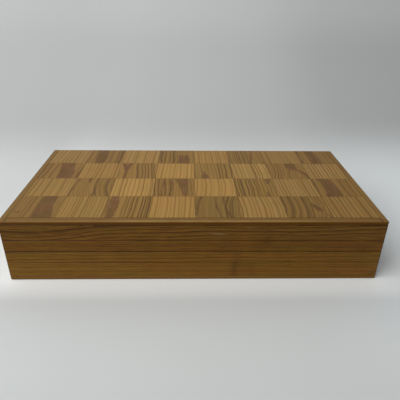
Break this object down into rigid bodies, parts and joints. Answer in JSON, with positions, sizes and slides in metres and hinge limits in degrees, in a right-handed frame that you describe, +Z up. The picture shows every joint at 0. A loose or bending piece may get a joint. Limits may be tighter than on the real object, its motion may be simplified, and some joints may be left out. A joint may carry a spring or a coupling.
{
  "type": "folding mancala board",
  "caption": "Flat hinged wooden case with a chequered field outside, opening to rows of round bowls and long end stores for playing stones.",
  "frame": {"origin": "middle of the closed case's bottom face", "axes": "+Z up through the closed case, +X along the hinge to the right seen from the front, +Y towards the hinge at the back"},
  "size_m": [0.3686, 0.1889, 0.067],
  "materials": {
    "light_veneer": "satin varnished straight-grained softwood veneer",
    "dark_veneer": "satin varnished figured softwood veneer, stained browner",
    "lipping": "satin varnished softwood lipping",
    "plywood": "raw plywood edges",
    "pine_board": "satin varnished softwood, long growth lines",
    "brass": "brushed brass",
    "magnet": "nickel plated",
    "glass_blue": "polished glass",
    "glass_green": "polished glass",
    "glass_amber": "polished glass",
    "glass_clear": "polished glass"
  },
  "bodies": {
    "lower_half": {"lower_panel_ply": "plywood", "lower_light_squares": "light_veneer", "lower_dark_squares": "dark_veneer", "lower_edge_strip_front": "lipping", "lower_edge_strip_left": "lipping", "lower_edge_strip_right": "lipping", "lower_base_board": "pine_board", "lower_pit_board": "pine_board", "lower_closing_magnets": "magnet", "lower_hinge_screws": "brass", "left_hinge_lower_leaf": "brass", "right_hinge_lower_leaf": "brass", "left_hinge_pin": "brass", "right_hinge_pin": "brass", "stones_blue": "glass_blue", "stones_green": "glass_green", "stones_amber": "glass_amber", "stones_clear": "glass_clear"},
    "upper_half": {"upper_panel_ply": "plywood", "upper_light_squares": "light_veneer", "upper_dark_squares": "dark_veneer", "upper_edge_strip_front": "lipping", "upper_edge_strip_left": "lipping", "upper_edge_strip_right": "lipping", "upper_base_board": "pine_board", "upper_pit_board": "pine_board", "upper_closing_magnets": "magnet", "upper_hinge_screws": "brass", "left_hinge_upper_leaf": "brass", "right_hinge_upper_leaf": "brass"}
  },
  "joints": [
    {"name": "lid_hinge", "type": "hinge", "parent": "lower_half", "child": "upper_half", "pos_m": [0, 0.0934, 0.0335], "axis": [-1, 0, 0], "range_deg": [0, 180]}
  ]
}
